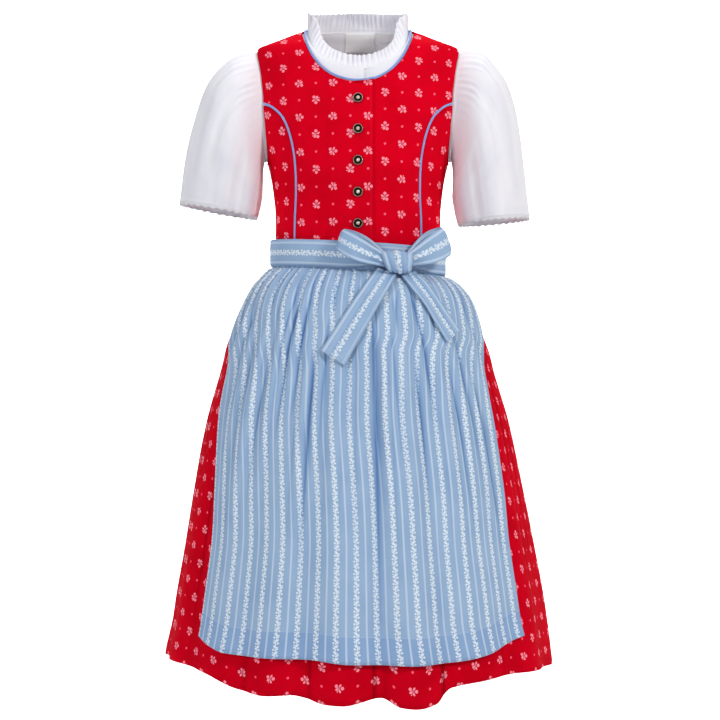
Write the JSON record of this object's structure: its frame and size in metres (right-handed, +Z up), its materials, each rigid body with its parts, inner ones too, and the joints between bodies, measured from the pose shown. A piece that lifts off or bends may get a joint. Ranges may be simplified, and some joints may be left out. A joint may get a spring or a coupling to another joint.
{
  "type": "child's dirndl dress with blouse and apron",
  "caption": "Filled-out red dirndl dress with a white puff-sleeved blouse, piped princess seams, metal buttons and a striped light blue apron tied in a bow.",
  "frame": {"origin": "midway between the two shoulder seams, level with their middles, where a wearer's shoulders carry the dress", "axes": "+Z up, front facing -Y, the wearer's left side at +X"},
  "size_m": [0.5142, 0.4593, 0.894],
  "materials": {
    "red_cotton": "printed woven cotton, matt",
    "white_batiste": "fine white batiste",
    "white_lace": "narrow scalloped lace",
    "woven_label": "blank woven satin",
    "blue_piping": "corded cotton piping",
    "old_pewter": "antique pewter, worn bright on the domes",
    "blue_stripe": "light blue jacquard stripe with a soft sheen"
  },
  "bodies": {
    "root": {"bodice_front_right": "red_cotton", "bodice_front_left": "red_cotton", "bodice_side_right": "red_cotton", "bodice_side_left": "red_cotton", "bodice_back": "red_cotton", "skirt_front": "red_cotton", "skirt_back": "red_cotton", "blouse_front_right": "white_batiste", "blouse_front_left": "white_batiste", "blouse_back": "white_batiste", "collar_ruffle": "white_batiste", "sleeve_right": "white_batiste", "sleeve_left": "white_batiste", "sleeve_lace_right": "white_lace", "sleeve_lace_left": "white_lace", "neck_label": "woven_label", "size_tab": "woven_label", "neck_piping": "blue_piping", "seam_piping_right": "blue_piping", "seam_piping_left": "blue_piping", "button_1": "old_pewter", "button_2": "old_pewter", "button_3": "old_pewter", "button_4": "old_pewter", "button_5": "old_pewter", "apron_band": "blue_stripe", "apron_skirt": "blue_stripe", "tie_right": "blue_stripe", "tie_left": "blue_stripe", "bow_loop_right": "blue_stripe", "bow_loop_left": "blue_stripe", "bow_tail_right": "blue_stripe", "bow_tail_left": "blue_stripe", "bow_knot": "blue_stripe"}
  },
  "joints": []
}
